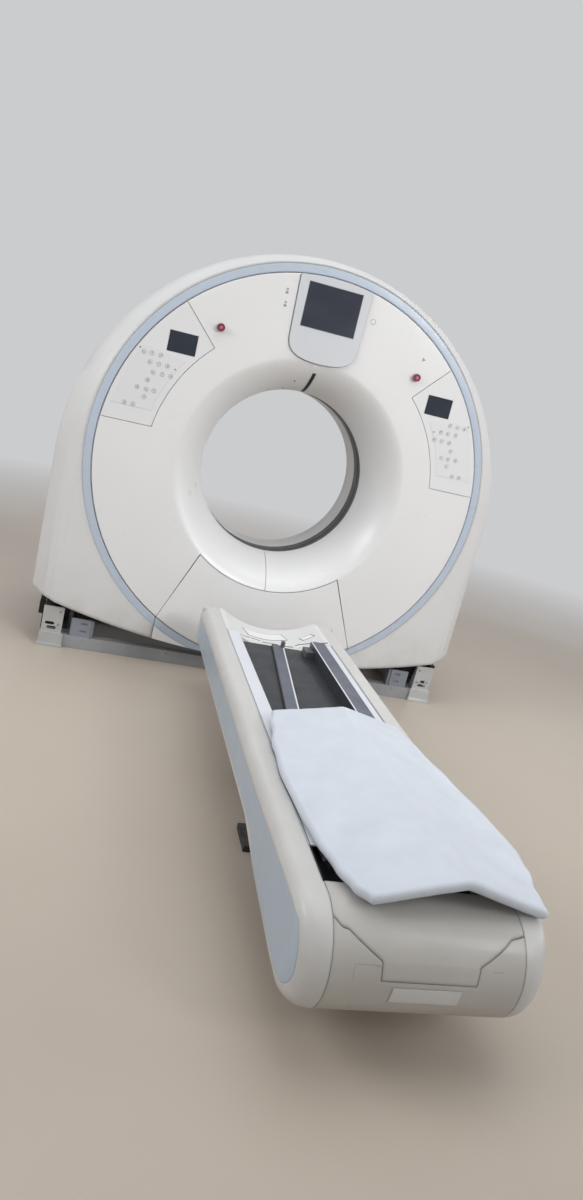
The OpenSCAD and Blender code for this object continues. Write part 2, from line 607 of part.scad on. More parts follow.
// couch body
module couch_chassis() color([0.42, 0.44, 0.47]) {
    lift_head();
    for (s = [-1, 1]) bx(s > 0 ? 196 : -232, s > 0 ? 232 : -196, deck_foot + clr, head_y - 20, 262, deck_z - deck_t);
    for (y = [deck_foot + 20, col_y - col_hy - 90, col_y + col_hy + 30, deck_head - 60]) bx(-197, 197, y, y + 60, 290, deck_z - deck_t);
    for (y = [col_y - 200, col_y, col_y + 200]) bx(-197, 197, y - 40, y + 40, 330, deck_z - deck_t);
}
// section of a side cover: outer skin, rounded shoulder and top, as X and Z
function shoulder(o) = [for (i = [0:8]) let(a = i * 90 / 8)
    [couch_half - 26 + (26 - o) * cos(a), couch_top - 44 + (44 - o * 0.8) * sin(a)]];
module cover_section() {
    polygon(concat([[couch_half - 5, bottom_z], [couch_half, bottom_z]], shoulder(0), [[238, couch_top], [238, deck_z],
        [243, deck_z], [243, couch_top - 5]], rev(shoulder(5))));
}
// underside of the foot end: Y, height at the seam, and how much the side rounding lifts it
function belly() = let(d = bottom_z - belly_z) [[belly_y + 0.51 * (nose_y - belly_y) * 0.75, bottom_z - 0.49 * d, 25],
    [belly_y + 0.59 * (nose_y - belly_y), bottom_z - 0.7 * d, 40], [belly_y + 0.74 * (nose_y - belly_y), bottom_z - 0.84 * d, 52],
    [belly_y + 0.87 * (nose_y - belly_y), bottom_z - 0.945 * d, 60], [nose_y, belly_z, 65]];
// side outline of the foot end at x, kept g inside the outer surface
function draw(x, r, w, x0, g) = r - (r - g) * (x <= x0 ? 1 : sqrt(max(0, 1 - pow((x - x0) / (w - g), 2))));
function foot_outline(x, g) = let(
        front = draw(x, foot_r, foot_r, end_x + 5, g),
        low = draw(x, 1, foot_r, end_x + 5, 0),
        top = draw(x, 44, 26, couch_half - 26, g))
    concat([[belly_y, couch_top - top], [belly_y, bottom_z + g]],
        [for (b = belly()) [b[0], b[1] + b[2] * low + g]],
        [for (a = [82.5:-7.5:0]) [nose_y - (nose_len - front) * cos(a), nose_z - (nose_z - belly_z - 65 * low - g) * sin(a)]],
        [for (a = [7.5:7.5:90]) [nose_y - (nose_len - front) * cos(a), nose_z + (couch_top - nose_z - top) * sin(a)]]);
// body lofted through one side outline for each x
module loft(xs, g) {
    rings = [for (x = xs) foot_outline(x, g)];
    m = len(rings[0]);
    n = len(xs);
    polyhedron(points = [for (i = [0:n - 1]) for (q = rings[i]) [xs[i], q[0], q[1]]],
        faces = concat([[for (j = [m - 1:-1:0]) j]], [[for (j = [0:m - 1]) (n - 1) * m + j]],
            [for (i = [0:n - 2], j = [0:m - 1]) let(k = (j + 1) % m) [i * m + j, (i + 1) * m + k, (i + 1) * m + j]],
            [for (i = [0:n - 2], j = [0:m - 1]) let(k = (j + 1) % m) [i * m + j, i * m + k, (i + 1) * m + k]]));
}
// foot end of a side cover from x0 outwards, g inside the outer surface
module foot_body(x0, g) loft(concat([x0], [for (a = [0:10:90]) end_x + 5 + (foot_r - g) * sin(a)]), g);
// outline of the inset strip, grown by g
module inset_outline(g) {
    z1 = couch_top - 45;
    polygon(concat([[head_y - 44 + g, z1 + g], [head_y - 44 + g, bottom_z + 18 - g], [head_y - 120, bottom_z + 14 - g], [belly_y + 20, bottom_z + 14 - g],
        [belly_y - 90, bottom_z + 8 - g]], [for (b = belly()) [b[0] + (b[0] == nose_y ? 10 : 0), b[1] + b[2] + 2 - g]],
        [for (i = [0:12]) let(a = -90 - i * 90 / 12) [nose_y - 28 + (68 + g) * cos(a), nose_z - 5 + (nose_z - belly_z - 74 + g) * sin(a)]],
        [for (i = [1:8]) let(a = 180 - i * 60 / 8) [nose_y - 8 + (88 + g) * cos(a), nose_z - 5 + (114 + g) * sin(a)]],
        [[nose_y + 4, couch_top - 32 + g], [nose_y + 240, z1 + 8 + g], [belly_y - 90, z1 + g]]));
}
// room for the inset strip: a thin layer of the outer skin
module inset_cut(g, t) intersection() {
    union() {
        difference() {
            foot_body(end_x + 5, -t);
            foot_body(end_x + 4, 2.5);
        }
        bx(couch_half - 2.5, couch_half + t, belly_y - 0.5, head_y - 30, 150, 500);
    }
    side(100, 400) inset_outline(g);
}
module side_cover() difference() {
    union() {
        profile(belly_y, head_y - 6) cover_section();
        difference() {
            foot_body(end_x, 0);
            foot_body(end_x - 2, 5);
            bx(end_x - 3, 238, deck_foot - 3, belly_y + 1, 100, 500);
        }
        bx(238, 243, deck_foot - 3, belly_y + 1, deck_z, couch_top - 2);
        side(238, couch_half - 3) polygon([[head_y - 40, 262], [head_y - 6, 250], [head_y - 1, 300], [head_y, couch_top - 14],
            [head_y - 6, couch_top - 2], [head_y - 40, couch_top - 2]]);
    }
    side(-400, 400) polygon([[head_y + 10, 100], [head_y + 10, bottom_z - 2], [head_y - 90, bottom_z + 6], [belly_y + 40, bottom_z], [belly_y + 40, 100]]);
    inset_cut(0.4, 1);
}
module left_side_cover() color([0.83, 0.82, 0.79]) mirror([1, 0, 0]) side_cover();
module right_side_cover() color([0.83, 0.82, 0.79]) side_cover();
module inset_panels() color([0.68, 0.75, 0.81]) {
    mirror([1, 0, 0]) inset_cut(0, 0);
    inset_cut(0, 0);
}
// the notched outline between the two end covers, as X and Z, grown by g
module notch_shape(g) polygon([[-300, 700], [-300, nose_z + 118 - g], [-235, nose_z + 118 - g], [-213 + g * 0.6, nose_z + 104 - g],
    [-199 + g * 0.6, nose_z + 102 - g], [-117 - g, nose_z + 53 - g], [-113 - g, nose_z + 11 - g], [119 + g, nose_z + 11 - g],
    [121 + g, nose_z + 53 - g], [177 - g * 0.6, nose_z + 88 - g], [200 - g * 0.6, nose_z + 104 - g], [235, nose_z + 110 - g],
    [300, nose_z + 110 - g], [300, 700]]);
// outline of the foot end between the seams, g inside, open towards the head
module nose_outline(g) {
    ring = foot_outline(0, g);
    polygon(concat([[deck_foot + (g > 0 ? 20 : -clr), couch_top - g], [deck_foot + (g > 0 ? 20 : -clr), nose_z]],
        [[nose_y + 102, nose_z], [nose_y + 102, belly_z + 8]], [for (i = [6:len(ring) - 1]) ring[i]]));
}
module end_shell() {
    w = end_x - seam / 3;
    difference() {
        side(-w, w) nose_outline(0);
        side(-w - 1, w + 1) nose_outline(6);
        bx(-w - 1, w + 1, nose_y + 99, nose_y + 110, 100, nose_z + 1);
    }
}
module end_cover_upper() color([0.8, 0.79, 0.76]) union() {
    intersection() {
        end_shell();
        profile(foot_y - 20, deck_foot + 10) notch_shape(-0.5);
    }
    bx(-end_x + 10, end_x - 10, deck_foot - clr - 6, deck_foot - clr, nose_z + 45, couch_top - 3);
}
// lip of the lower end cover that reaches behind a side cover
module end_lip() intersection() {
    difference() {
        side(end_x - 12, end_x + 4.6) nose_outline(5.4);
        side(end_x - 13, end_x + 5) nose_outline(9);
        bx(end_x - 13, end_x + 6, nose_y + 90, nose_y + 220, 100, nose_z + 1);
    }
    bx(end_x - 14, end_x + 6, foot_y, nose_y - 3, belly_z, nose_z + 90);
}
module end_cover_lower() color([0.79, 0.78, 0.75]) union() {
    difference() {
        union() {
            end_shell();
            intersection() {
                bx(-82, 88, foot_y - 5, foot_y + 30, nose_z - 47, nose_z - 2);
                side(-82, 88) nose_outline(-0.8);
            }
        }
        profile(foot_y - 20, deck_foot + 10) notch_shape(0.5);
        bx(-160, 163, foot_y - 5, foot_y + 12, nose_z - 61.8, nose_z - 60);
    }
    end_lip();
    mirror([1, 0, 0]) end_lip();
}
module underside_tray() color([0.7, 0.69, 0.67]) difference() {
    union() {
        bx(-couch_half + 5.3, couch_half - 5.3, belly_y + 0.4, head_y - 40, bottom_z + 8, bottom_z + 14);
        bx(-end_x + 1, end_x - 1, belly_y - 6, belly_y + 1, bottom_z, bottom_z + 14);
        side(-end_x + 1, end_x - 1) polygon(concat([[belly_y, bottom_z]], [for (b = belly()) if (b[0] > nose_y + 103) [b[0], b[1]]],
            [[nose_y + 103, belly_z + 7], [nose_y + 103, belly_z + 13]], rev([for (b = belly()) if (b[0] > nose_y + 103) [b[0], b[1] + 6]]),
            [[belly_y, bottom_z + 6]]));
        for (s = [-1, 1]) bx(s > 0 ? 200 : -228, s > 0 ? 228 : -200, belly_y + 10, head_y - 60, bottom_z + 13, 262);
    }
    bx(-col_hx - 24, col_hx + 24, col_y - col_hy - 36, col_y + col_hy + 36, 190, 270);
}
module head_trough() color([0.9, 0.9, 0.89]) difference() {
    union() {
        bx(-237.6, 237.6, deck_head + clr, head_y - 4, 300, couch_top);
        bx(-195.7, 195.7, head_y - 100, head_y - 10, 262, 301);
    }
    translate([0, deck_head - 10, 733]) rotate([-90, 0, 0]) cylinder(r = 405, h = 310);
    bx(-230, 230, deck_head + 8, head_y - 30, 299, 318);
    for (s = [-1, 1]) bx(s > 0 ? 196 - 0.3 : -233, s > 0 ? 233 : -196 + 0.3, deck_head - 1, head_y - 19, 299, deck_z - deck_t);
}
module side_strips() color([0.94, 0.94, 0.95]) {
    bx(-237.6, -184, strip_foot, deck_head, strip_z - 4, strip_z);
    bx(-237.6, -232, strip_foot, deck_head, deck_z, strip_z);
    bx(-190, -184, strip_foot, deck_head, deck_z, strip_z);
    bx(206, 237.6, deck_foot, deck_head, strip_z - 4, strip_z);
    bx(232, 237.6, deck_foot, deck_head, deck_z, strip_z);
    bx(206, 211, deck_foot, deck_head, deck_z, strip_z);
}
module deck_plates() color([0.3, 0.31, 0.34]) {
    bx(-237.6, 237.6, deck_foot, deck_head, deck_z - deck_t, deck_z);
}
module right_rail() color([0.5, 0.52, 0.57]) difference() {
    bx(140, 205.6, deck_foot + 6, deck_head - 4, deck_z, rail_top);
    bx(128, 152, deck_foot, deck_head + 4, deck_z + 14, rail_top - 12);
    bx(139, 142, deck_foot, deck_head + 4, deck_z - 1, deck_z + 15);
}
module loose_rail() color([0.5, 0.52, 0.57]) translate([25, deck_head - 8, deck_z]) rotate([0, 0, -6.3]) difference() {
    bx(-53, 0, -1000, 0, 0, 10);
    bx(-4, -3, -1001, 1, 9, 11);
}
// plan of the mat, which narrows to both ends
function mat_plan(h, l) = [[-0.815 * h, 0], [0.78 * h, 0], [0.83 * h, 0.08 * l], [0.93 * h, 0.17 * l], [0.98 * h, 0.27 * l], [0.96 * h, 0.42 * l],
    [0.89 * h, 0.63 * l], [0.82 * h, 0.83 * l], [0.75 * h, l], [-0.83 * h, l], [-0.88 * h, 0.9 * l], [-0.945 * h, 0.76 * l],
    [-0.995 * h, 0.57 * l], [-h, 0.42 * l], [-0.99 * h, 0.26 * l], [-0.96 * h, 0.13 * l], [-0.91 * h, 0.06 * l]];
module foam_mat() color([0.82, 0.87, 0.92]) translate([77, foot_y + 75, 0]) rotate([0, 0, mat_turn]) intersection() {
    z = couch_top + clr;
    w = mat_half + 5;
    profile(-1, mat_len + 1) polygon([[-w, z], [0, z + mat_rise], [0.74 * w, z], [w, z], [w, z + mat_t], [0.74 * w + 5, z + mat_t],
        [0, z + mat_rise + mat_t], [-w, z + mat_t]]);
    translate([0, 0, couch_top - 5]) linear_extrude(mat_rise + mat_t + 20) polygon(mat_plan(mat_half, mat_len));
}
module carriage() color([0.55, 0.56, 0.58]) {
    carriage_plate();
    carriage_shoes();
}
module carriage_plate() difference() {
    bx(-176, 132, carr_y0, carr_y0 + carr_len, 362, 374);
    for (y = [carr_y0 + 60, carr_y0 + carr_len - 60], x = [-120, 80]) translate([x, y, 350]) cylinder(r = 5.5, h = 40, $fn = 32);
    bx(-60, 40, carr_y0 + 130, carr_y0 + carr_len - 130, 350, 380);
}
module carriage_shoes() for (y = [carr_y0 + 20, carr_y0 + carr_len - 100]) {
    bx(118, 133, y, y + 80, deck_z + 14 + clr, 363);
    bx(131.9, 151.7, y, y + 80, deck_z + 14 + clr, rail_top - 12.3);
    bx(-183.7, -160, y, y + 80, deck_z + clr, 363);
}

floor_frame();
stands();
pin_bushings();
side_plates();
corner_brackets();
inner_brackets();
tilt_gearmotor();
couch_floor_plate();
lift_sleeve_fixed();
lift_pump_box();
tilt_frame();
tilt_pins();
bearing_outer();
outer_cover();
rear_cover();
front_cover();
service_panel();
trim_ring();
trim_ring_lower();
control_panels();
displays();
keypads();
monitor_bezel();
monitor_screen();
laser_window();
scan_window();
rear_funnel();
stop_collars();
brush_block();
drive_motor();
drive_belt();
drive_pulley();
rotor_drum();
bearing_inner();
slip_ring();
tube_housing();
collimator();
detector_arc();
voltage_generator();
oil_cooler();
inverter_box();
counterweight();
left_stop_button();
right_stop_button();
lift_sleeve_lower();
lift_sleeve_upper();
couch_chassis();
left_side_cover();
right_side_cover();
inset_panels();
end_cover_upper();
end_cover_lower();
underside_tray();
head_trough();
side_strips();
deck_plates();
right_rail();
loose_rail();
foam_mat();
carriage();
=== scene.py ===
"""Looks of a whole-body CT scanner: materials, small surface detail, the soft mat, light and camera."""

import math

import bpy
import bmesh
import numpy as np
from mathutils import Matrix, Vector, noise


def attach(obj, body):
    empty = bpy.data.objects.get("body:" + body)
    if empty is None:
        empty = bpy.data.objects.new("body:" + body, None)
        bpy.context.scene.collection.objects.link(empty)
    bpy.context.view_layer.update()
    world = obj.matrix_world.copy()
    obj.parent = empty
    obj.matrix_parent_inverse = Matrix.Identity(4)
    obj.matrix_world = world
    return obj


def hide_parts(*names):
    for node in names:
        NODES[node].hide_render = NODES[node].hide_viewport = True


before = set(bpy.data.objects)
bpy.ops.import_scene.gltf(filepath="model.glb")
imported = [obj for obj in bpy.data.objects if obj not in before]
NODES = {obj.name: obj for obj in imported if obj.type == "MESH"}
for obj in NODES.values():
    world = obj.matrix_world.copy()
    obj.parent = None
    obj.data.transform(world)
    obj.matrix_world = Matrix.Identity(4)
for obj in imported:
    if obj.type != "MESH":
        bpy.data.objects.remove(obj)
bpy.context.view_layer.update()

# places of the CAD model that the small pieces sit on, in metres
ISO = 1.005             # height of the bore's axis
DISC = -0.290           # y of the front disc's face
KEY_FACE = DISC - 0.002  # y of the keys' tops
BEAM_FACE = -0.246      # y that the floor frame's screws stand on
TOP = 0.390             # top of the couch's side covers
STRIP_TOP = 0.388       # top of the pale strips beside the deck
DECK_TOP = 0.345        # top of the deck plates
RAIL_TOP = 0.396        # top of the right rail
LOOSE_TOP = 0.355       # top of the loose rail
DECK_HEAD = -0.776      # y of the deck's end at the gantry
DECK_FOOT = -2.560      # y of the deck's foot end
NOSE = -2.731           # y of the foot end's foremost point
STOP_X = 0.466          # how far the stop buttons sit from the middle
STOP_Z = ISO + 0.588    # height of the stop buttons
PRINT = 0.0003          # thickness of printed marks
TINY = 1e-12            # keeps a division away from zero


# ---------------------------------------------------------------- materials
def lin(rgb):
    """An 8-bit screen colour as linear values."""
    out = []
    for v in rgb:
        v /= 255
        out.append(v / 12.92 if v <= 0.04045 else ((v + 0.055) / 1.055) ** 2.4)
    return out


class Tree:
    """A short way to build a material's node tree."""

    def __init__(self, name):
        self.mat = bpy.data.materials.new(name)
        self.mat.use_nodes = True
        self.nodes = self.mat.node_tree.nodes
        self.links = self.mat.node_tree.links
        self.bsdf = self.nodes["Principled BSDF"]
        self.coord = self.nodes.new("ShaderNodeTexCoord").outputs["Object"]

    def put(self, socket, value):
        """Link another node's output to a socket, or write a plain value on it."""
        if hasattr(value, "is_output"):
            self.links.new(value, socket)
        elif isinstance(value, (list, tuple)) and len(value) == 3 and socket.type == "RGBA":
            socket.default_value = (*value, 1)
        else:
            socket.default_value = value

    def stretch(self, scale):
        """Object coordinates scaled by a different number along each axis."""
        n = self.nodes.new("ShaderNodeMapping")
        self.put(n.inputs["Vector"], self.coord)
        n.inputs["Scale"].default_value = scale
        return n.outputs["Vector"]

    def noise(self, scale, detail=4, rough=0.55, vector=None):
        n = self.nodes.new("ShaderNodeTexNoise")
        self.put(n.inputs["Vector"], vector or self.coord)
        n.inputs["Scale"].default_value = scale
        n.inputs["Detail"].default_value = detail
        n.inputs["Roughness"].default_value = rough
        return n.outputs["Fac"]

    def cells(self, scale):
        n = self.nodes.new("ShaderNodeTexVoronoi")
        self.put(n.inputs["Vector"], self.coord)
        n.inputs["Scale"].default_value = scale
        return n.outputs["Distance"]

    def remap(self, value, a, b, c=0.0, d=1.0):
        n = self.nodes.new("ShaderNodeMapRange")
        self.put(n.inputs["Value"], value)
        n.inputs["From Min"].default_value = a
        n.inputs["From Max"].default_value = b
        n.inputs["To Min"].default_value = c
        n.inputs["To Max"].default_value = d
        return n.outputs["Result"]

    def math(self, op, a, b=0.0):
        n = self.nodes.new("ShaderNodeMath")
        n.operation = op
        self.put(n.inputs[0], a)
        self.put(n.inputs[1], b)
        return n.outputs["Value"]

    def times(self, a, b):
        return self.math("MULTIPLY", a, b)

    def mix(self, fac, a, b):
        n = self.nodes.new("ShaderNodeMix")
        n.data_type = "RGBA"
        self.put(n.inputs["Factor"], fac)
        self.put(n.inputs["A"], a)
        self.put(n.inputs["B"], b)
        return n.outputs["Result"]

    def axis(self, which):
        n = self.nodes.new("ShaderNodeSeparateXYZ")
        self.put(n.inputs["Vector"], self.coord)
        return n.outputs[which]

    def bevel(self, radius):
        """The surface normal, rounded over edges within the radius."""
        n = self.nodes.new("ShaderNodeBevel")
        n.samples = 4
        n.inputs["Radius"].default_value = radius
        return n.outputs["Normal"]

    def normal(self):
        return self.nodes.new("ShaderNodeNewGeometry").outputs["Normal"]

    def edges(self, radius):
        """1 on edges and corners, 0 on flats."""
        dot = self.nodes.new("ShaderNodeVectorMath")
        dot.operation = "DOT_PRODUCT"
        self.links.new(self.bevel(radius), dot.inputs[0])
        self.links.new(self.normal(), dot.inputs[1])
        return self.remap(dot.outputs["Value"], 0.995, 0.8)

    def painted_gap_shade(self, reach):
        """Painted shade: 1 in the hollow of a seam or crevice, where ambient occlusion finds little open sky,
        0 on open faces.
        """
        n = self.nodes.new("ShaderNodeAmbientOcclusion")
        n.samples = 6
        n.inputs["Distance"].default_value = reach
        return self.remap(n.outputs["AO"], 0.58, 0.30)

    def bump(self, height, strength, distance=0.001, soft=0.0):
        n = self.nodes.new("ShaderNodeBump")
        n.inputs["Strength"].default_value = strength
        n.inputs["Distance"].default_value = distance
        self.put(n.inputs["Height"], height)
        if soft:
            self.links.new(self.bevel(soft), n.inputs["Normal"])
        return n.outputs["Normal"]

    def finish(self, color, rough, normal=None, metal=0.0, spec=0.5, coat=0.0):
        self.put(self.bsdf.inputs["Base Color"], color)
        self.put(self.bsdf.inputs["Roughness"], rough)
        self.put(self.bsdf.inputs["Metallic"], metal)
        self.put(self.bsdf.inputs["Specular IOR Level"], spec)
        if coat:
            self.bsdf.inputs["Coat Weight"].default_value = coat
            self.bsdf.inputs["Coat Roughness"].default_value = 0.12
        if normal:
            self.links.new(normal, self.bsdf.inputs["Normal"])
        return self.mat


def shades(base, *factors):
    """A colour made darker or lighter by each factor."""
    return [[min(1, v * f) for v in base] for f in factors]


def moulded(name, rgb, rough=0.38, var=0.03, peel=0.05, soft=0.003, dust=0.0, low=0.0, wear=0.25, seam_shade=0.0):
    """Painted moulding: orange peel, broad faint shades, rubbed edges, painted shade in each seam hollow,
    dust low down.
    """
    t = Tree(name)
    base = lin(rgb)
    dark, light, smeared, specked, rubbed, gap_shade_tone = shades(base, 1 - var, 1 + var * 0.6, 0.86, 0.66, 0.62, 0.12)
    col = t.mix(t.remap(t.noise(2.2, 5), 0.3, 0.7), dark, light)
    smear = t.remap(t.noise(7, 6, 0.6, t.stretch((0.6, 1, 2.2))), 0.58, 0.74)
    col = t.mix(t.times(smear, 0.10 + dust * 0.3), col, smeared)
    speck = t.remap(t.noise(900, 2), 0.70, 0.76)
    col = t.mix(t.times(speck, 0.14), col, specked)
    if dust:
        down = t.remap(t.axis("Z"), low + 0.34, low)
        down = t.times(down, t.remap(t.noise(9, 6), 0.32, 0.7))
        col = t.mix(t.times(down, dust), col, lin((150, 143, 132)))
    edge = t.times(t.edges(0.004), t.remap(t.noise(40, 4), 0.42, 0.66))
    col = t.mix(t.times(edge, wear), col, rubbed)
    # painted shade: seam and crevice hollows darkened by ambient occlusion
    if seam_shade:
        col = t.mix(t.times(t.painted_gap_shade(0.008), seam_shade), col, gap_shade_tone)
    r = t.remap(t.noise(11, 6), 0.3, 0.72, rough - 0.06, rough + 0.10)
    return t.finish(col, r, t.bump(t.noise(420, 3), peel, 0.0006, soft), spec=0.45, coat=0.12)


def metalwork(name, rgb, rough=0.35, metal=0.9, brush=(1, 1, 1), var=0.12, wear=(170, 172, 174), amount=0.4,
              rust=0.0, fine=260):
    """Bare or plated metal with brushing, spangle, handling marks and brighter edges."""
    t = Tree(name)
    dark, light, brushed = shades(lin(rgb), 1 - var, 1 + var, 0.72)
    lines = t.noise(fine, 3, 0.6, t.stretch(brush))
    col = t.mix(t.remap(t.noise(6, 6), 0.3, 0.7), dark, light)
    col = t.mix(t.times(t.remap(lines, 0.35, 0.65), 0.35), col, brushed)
    edge = t.times(t.edges(0.003), t.remap(t.noise(55, 4), 0.35, 0.6))
    col = t.mix(t.times(edge, amount), col, lin(wear))
    if rust:
        spots = t.remap(t.noise(26, 8, 0.7), 0.62, 0.74)
        col = t.mix(t.times(spots, rust), col, lin((112, 74, 46)))
    r = t.remap(t.noise(14, 6), 0.3, 0.7, rough - 0.08, rough + 0.14)
    return t.finish(col, r, t.bump(lines, 0.10, 0.0004, 0.0015), metal=metal)


def powder(name, rgb, rough=0.5, wear=(150, 152, 155), amount=0.35, dust=0.25):
    """Powder-coated steel: fine pimples, chipped edges, dust on what faces up."""
    t = Tree(name)
    dark, light = shades(lin(rgb), 0.86, 1.12)
    col = t.mix(t.remap(t.noise(5, 5), 0.3, 0.7), dark, light)
    scratch = t.remap(t.noise(160, 4, 0.6, t.stretch((0.15, 1, 3))), 0.66, 0.72)
    col = t.mix(t.times(scratch, 0.3), col, lin(wear))
    chips = t.times(t.edges(0.003), t.remap(t.noise(90, 5), 0.46, 0.6))
    col = t.mix(t.times(chips, amount), col, lin(wear))
    sep = t.nodes.new("ShaderNodeSeparateXYZ")
    t.links.new(t.normal(), sep.inputs["Vector"])
    up = t.times(t.remap(sep.outputs["Z"], 0.55, 0.95), t.remap(t.noise(18, 6), 0.35, 0.7))
    col = t.mix(t.times(up, dust), col, lin((158, 150, 140)))
    return t.finish(col, t.remap(t.noise(30, 4), 0.3, 0.7, rough - 0.08, rough + 0.12),
                    t.bump(t.noise(700, 2), 0.16, 0.0005, 0.002), spec=0.4)


def screen(name, rgb):
    """Dark display glass with a faint haze of finger marks."""
    t = Tree(name)
    base = lin(rgb)
    haze = t.remap(t.noise(9, 5, 0.6), 0.42, 0.75)
    col = t.mix(t.times(haze, 0.25), base, [v * 1.5 + 0.003 for v in base])
    return t.finish(col, t.remap(haze, 0, 1, 0.14, 0.26), t.bump(t.noise(60, 2), 0.02, 0.0003), spec=0.45)


def fabric(name, rgb):
    """Coated foam cover: fine calender grain, soft stains and puckers."""
    t = Tree(name)
    dark, light, grained = shades(lin(rgb), 0.94, 1.04, 0.8)
    col = t.mix(t.remap(t.noise(9, 6), 0.3, 0.7), dark, light)
    col = t.mix(t.times(t.remap(t.cells(1500), 0.1, 0.6), 0.12), col, grained)
    weave = t.noise(1100, 2, 0.5, t.stretch((1, 0.4, 1)))
    puckers = t.noise(26, 4, 0.5, t.stretch((1, 0.5, 1)))
    height = t.math("ADD", t.times(weave, 0.25), puckers)
    t.bsdf.inputs["Sheen Weight"].default_value = 0.25
    r = t.remap(t.noise(20, 5), 0.3, 0.7, 0.46, 0.62)
    return t.finish(col, r, t.bump(height, 0.22, 0.003), spec=0.35)


MATS = {
    "shell": moulded("shell_paint", (209, 209, 209), 0.40, 0.03, soft=0.024, dust=0.35, low=0.09),
    "rear": moulded("rear_paint", (209, 208, 207), 0.42, 0.035, soft=0.010, dust=0.35, low=0.24),
    "front": moulded("front_paint", (221, 221, 221), 0.33, 0.02, seam_shade=0.8, peel=0.04),
    "service": moulded("service_paint", (223, 223, 223), 0.34, 0.025, seam_shade=0.8, peel=0.04),
    "trim": moulded("trim_lacquer", (180, 191, 205), 0.30, 0.04, peel=0.03, wear=0.4),
    "panel": moulded("panel_film", (218, 218, 219), 0.46, 0.02, peel=0.10, soft=0.0008),
    "keys": moulded("key_film", (216, 216, 217), 0.42, 0.02, peel=0.08, soft=0.0012),
    "bezel": moulded("bezel_paint", (201, 204, 208), 0.34, 0.04, peel=0.08, soft=0.004),
    "couch": moulded("couch_paint", (200, 199, 197), 0.42, 0.035, soft=0.009, dust=0.30, low=0.19, wear=0.2,
                     seam_shade=0.95),
    # the foot end's paint is darker and warmer than the couch paint: painted shade of the foot end in the
    # mat's shadow
    "end": moulded("end_paint_with_shade", (186, 183, 178), 0.44, 0.035, soft=0.011, dust=0.25, low=0.17, wear=0.2,
                   seam_shade=0.95),
    "inset": moulded("inset_paint", (168, 180, 192), 0.40, 0.04, wear=0.3),
    "trough": moulded("trough_moulding", (217, 217, 216), 0.36, 0.03),
    "strip": moulded("strip_paint", (214, 217, 223), 0.36, 0.03, peel=0.03, soft=0.0015, wear=0.5),
    "collar": moulded("collar_plastic", (176, 172, 170), 0.40, 0.05, soft=0.001),
    "stop": moulded("stop_red", (120, 32, 54), 0.46, 0.08, peel=0.02, soft=0.002),
    "display": screen("display_glass", (34, 42, 52)),
    "monitor": screen("monitor_glass", (44, 48, 60)),
    "window": moulded("scan_window_film", (9, 9, 11), 0.42, 0.10, peel=0.02, soft=0.001),
    "beam": powder("beam_paint", (148, 150, 152), 0.46, (178, 180, 182), 0.5, 0.2),
    "dark": powder("stand_paint", (42, 44, 48), 0.5, (120, 122, 126), 0.3, 0.3),
    "blackplate": powder("black_plate", (26, 27, 30), 0.46, (110, 112, 116), 0.35, 0.2),
    "inner": powder("inner_bracket_paint", (128, 134, 142), 0.45, (170, 172, 175), 0.4, 0.2),
    "zinc": metalwork("zinc_plate", (196, 199, 200), 0.40, 0.55, (1, 1, 8), 0.10, (225, 226, 226), 0.5, 0.06),
    "deck": moulded("deck_plate", (46, 48, 53), 0.50, 0.08, peel=0.12, soft=0.001),
    "rail": metalwork("rail_alu", (106, 110, 122), 0.50, 0.25, (30, 1, 30), 0.10, (190, 194, 200), 0.55),
    "chassis": powder("chassis_paint", (96, 99, 103), 0.5),
    "bronze": metalwork("bearing_bronze", (176, 140, 84), 0.35, 0.95, (8, 1, 1)),
    "steel": metalwork("ground_steel", (168, 171, 175), 0.26, 0.95, (1, 14, 1)),
    "lift": metalwork("lift_tube", (170, 173, 176), 0.34, 0.8, (1, 1, 0.2), 0.08),
    "alu": metalwork("drum_cast", (176, 178, 181), 0.45, 0.75, (1, 1, 1), 0.14, fine=90),
    "copper": metalwork("slip_copper", (190, 128, 84), 0.28, 0.95, (1, 20, 1)),
    "box": powder("box_paint", (122, 125, 130), 0.5),
    "motor": powder("motor_paint", (64, 67, 72), 0.48),
    "belt": moulded("belt_rubber", (30, 30, 31), 0.7, 0.2, peel=0.4, soft=0.001),
    "foam": fabric("foam_cover", (203, 209, 218)),
}
# which CAD nodes each material is for
USES = {
    "shell": "outer_cover",
    "rear": "rear_cover rear_funnel",
    "front": "front_cover",
    "service": "service_panel",
    "trim": "trim_ring trim_ring_lower",
    "panel": "control_panels",
    "keys": "keypads",
    "bezel": "monitor_bezel",
    "couch": "left_side_cover right_side_cover underside_tray",
    "end": "end_cover_upper end_cover_lower",
    "inset": "inset_panels",
    "trough": "head_trough",
    "strip": "side_strips",
    "collar": "stop_collars",
    "stop": "left_stop_button right_stop_button",
    "display": "displays",
    "monitor": "monitor_screen",
    "window": "scan_window laser_window",
    "beam": "floor_frame",
    "dark": "stands couch_floor_plate",
    "blackplate": "side_plates",
    "inner": "inner_brackets",
    "zinc": "corner_brackets",
    "deck": "deck_plates",
    "rail": "right_rail loose_rail",
    "chassis": "couch_chassis tilt_frame",
    "bronze": "pin_bushings",
    "steel": "tilt_pins bearing_outer bearing_inner drive_pulley carriage",
    "lift": "lift_sleeve_fixed lift_sleeve_lower lift_sleeve_upper",
    "alu": "rotor_drum counterweight",
    "copper": "slip_ring",
    "box": "tube_housing collimator detector_arc voltage_generator oil_cooler inverter_box lift_pump_box",
    "motor": "drive_motor brush_block tilt_gearmotor",
    "belt": "drive_belt",
    "foam": "foam_mat",
}


def values(items, field, width=1, kind=float):
    """One field of a mesh's vertices, corners or faces as an array."""
    out = np.empty(len(items) * width, dtype=kind)
    items.foreach_get(field, out)
    return out.reshape(-1, width) if width > 1 else out


